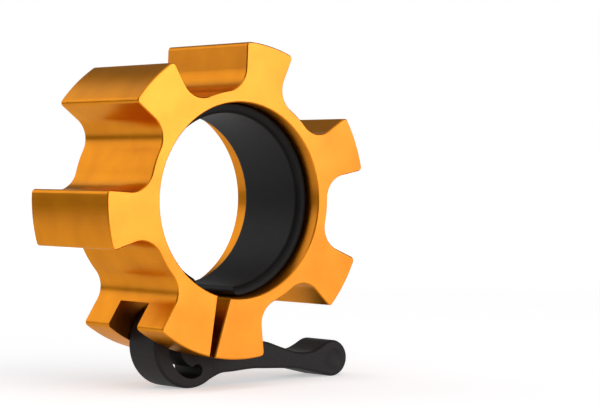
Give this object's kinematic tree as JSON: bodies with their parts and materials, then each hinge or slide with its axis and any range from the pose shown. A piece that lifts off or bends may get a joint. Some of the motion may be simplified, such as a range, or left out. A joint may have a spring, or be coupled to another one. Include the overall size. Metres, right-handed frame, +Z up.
{
  "type": "barbell collar",
  "caption": "Quick-release barbell collar: split aluminium clamp ring with grip lobes, rubber bore liner and a cam lever that swings down to open.",
  "frame": {"origin": "middle of the bounding box at its base, where the lever's round head and handle end touch the surface", "axes": "+Y along the bore from the front face to the back face, +Z up with the collar standing on its closed lever, +X towards the handle's end"},
  "size_m": [0.0944, 0.04, 0.0994],
  "materials": {
    "gold_anodised_aluminium": "satin orange-gold anodised, extruded then machined",
    "black_rubber": "matte moulded rubber",
    "black_nylon": "fine-grained moulded glass-filled nylon",
    "pin_steel": "ground steel"
  },
  "bodies": {
    "ring": {"clamp_ring": "gold_anodised_aluminium", "bore_liner": "black_rubber", "lever_pivot_pin": "pin_steel", "cam_follower_pin": "pin_steel"},
    "lever": {"cam_lever": "black_nylon"}
  },
  "joints": [
    {"name": "lever_swing", "type": "hinge", "parent": "ring", "child": "lever", "pos_m": [-0.00775, 0, 0.01289], "axis": [0, 1, 0], "range_deg": [0, 85]}
  ]
}
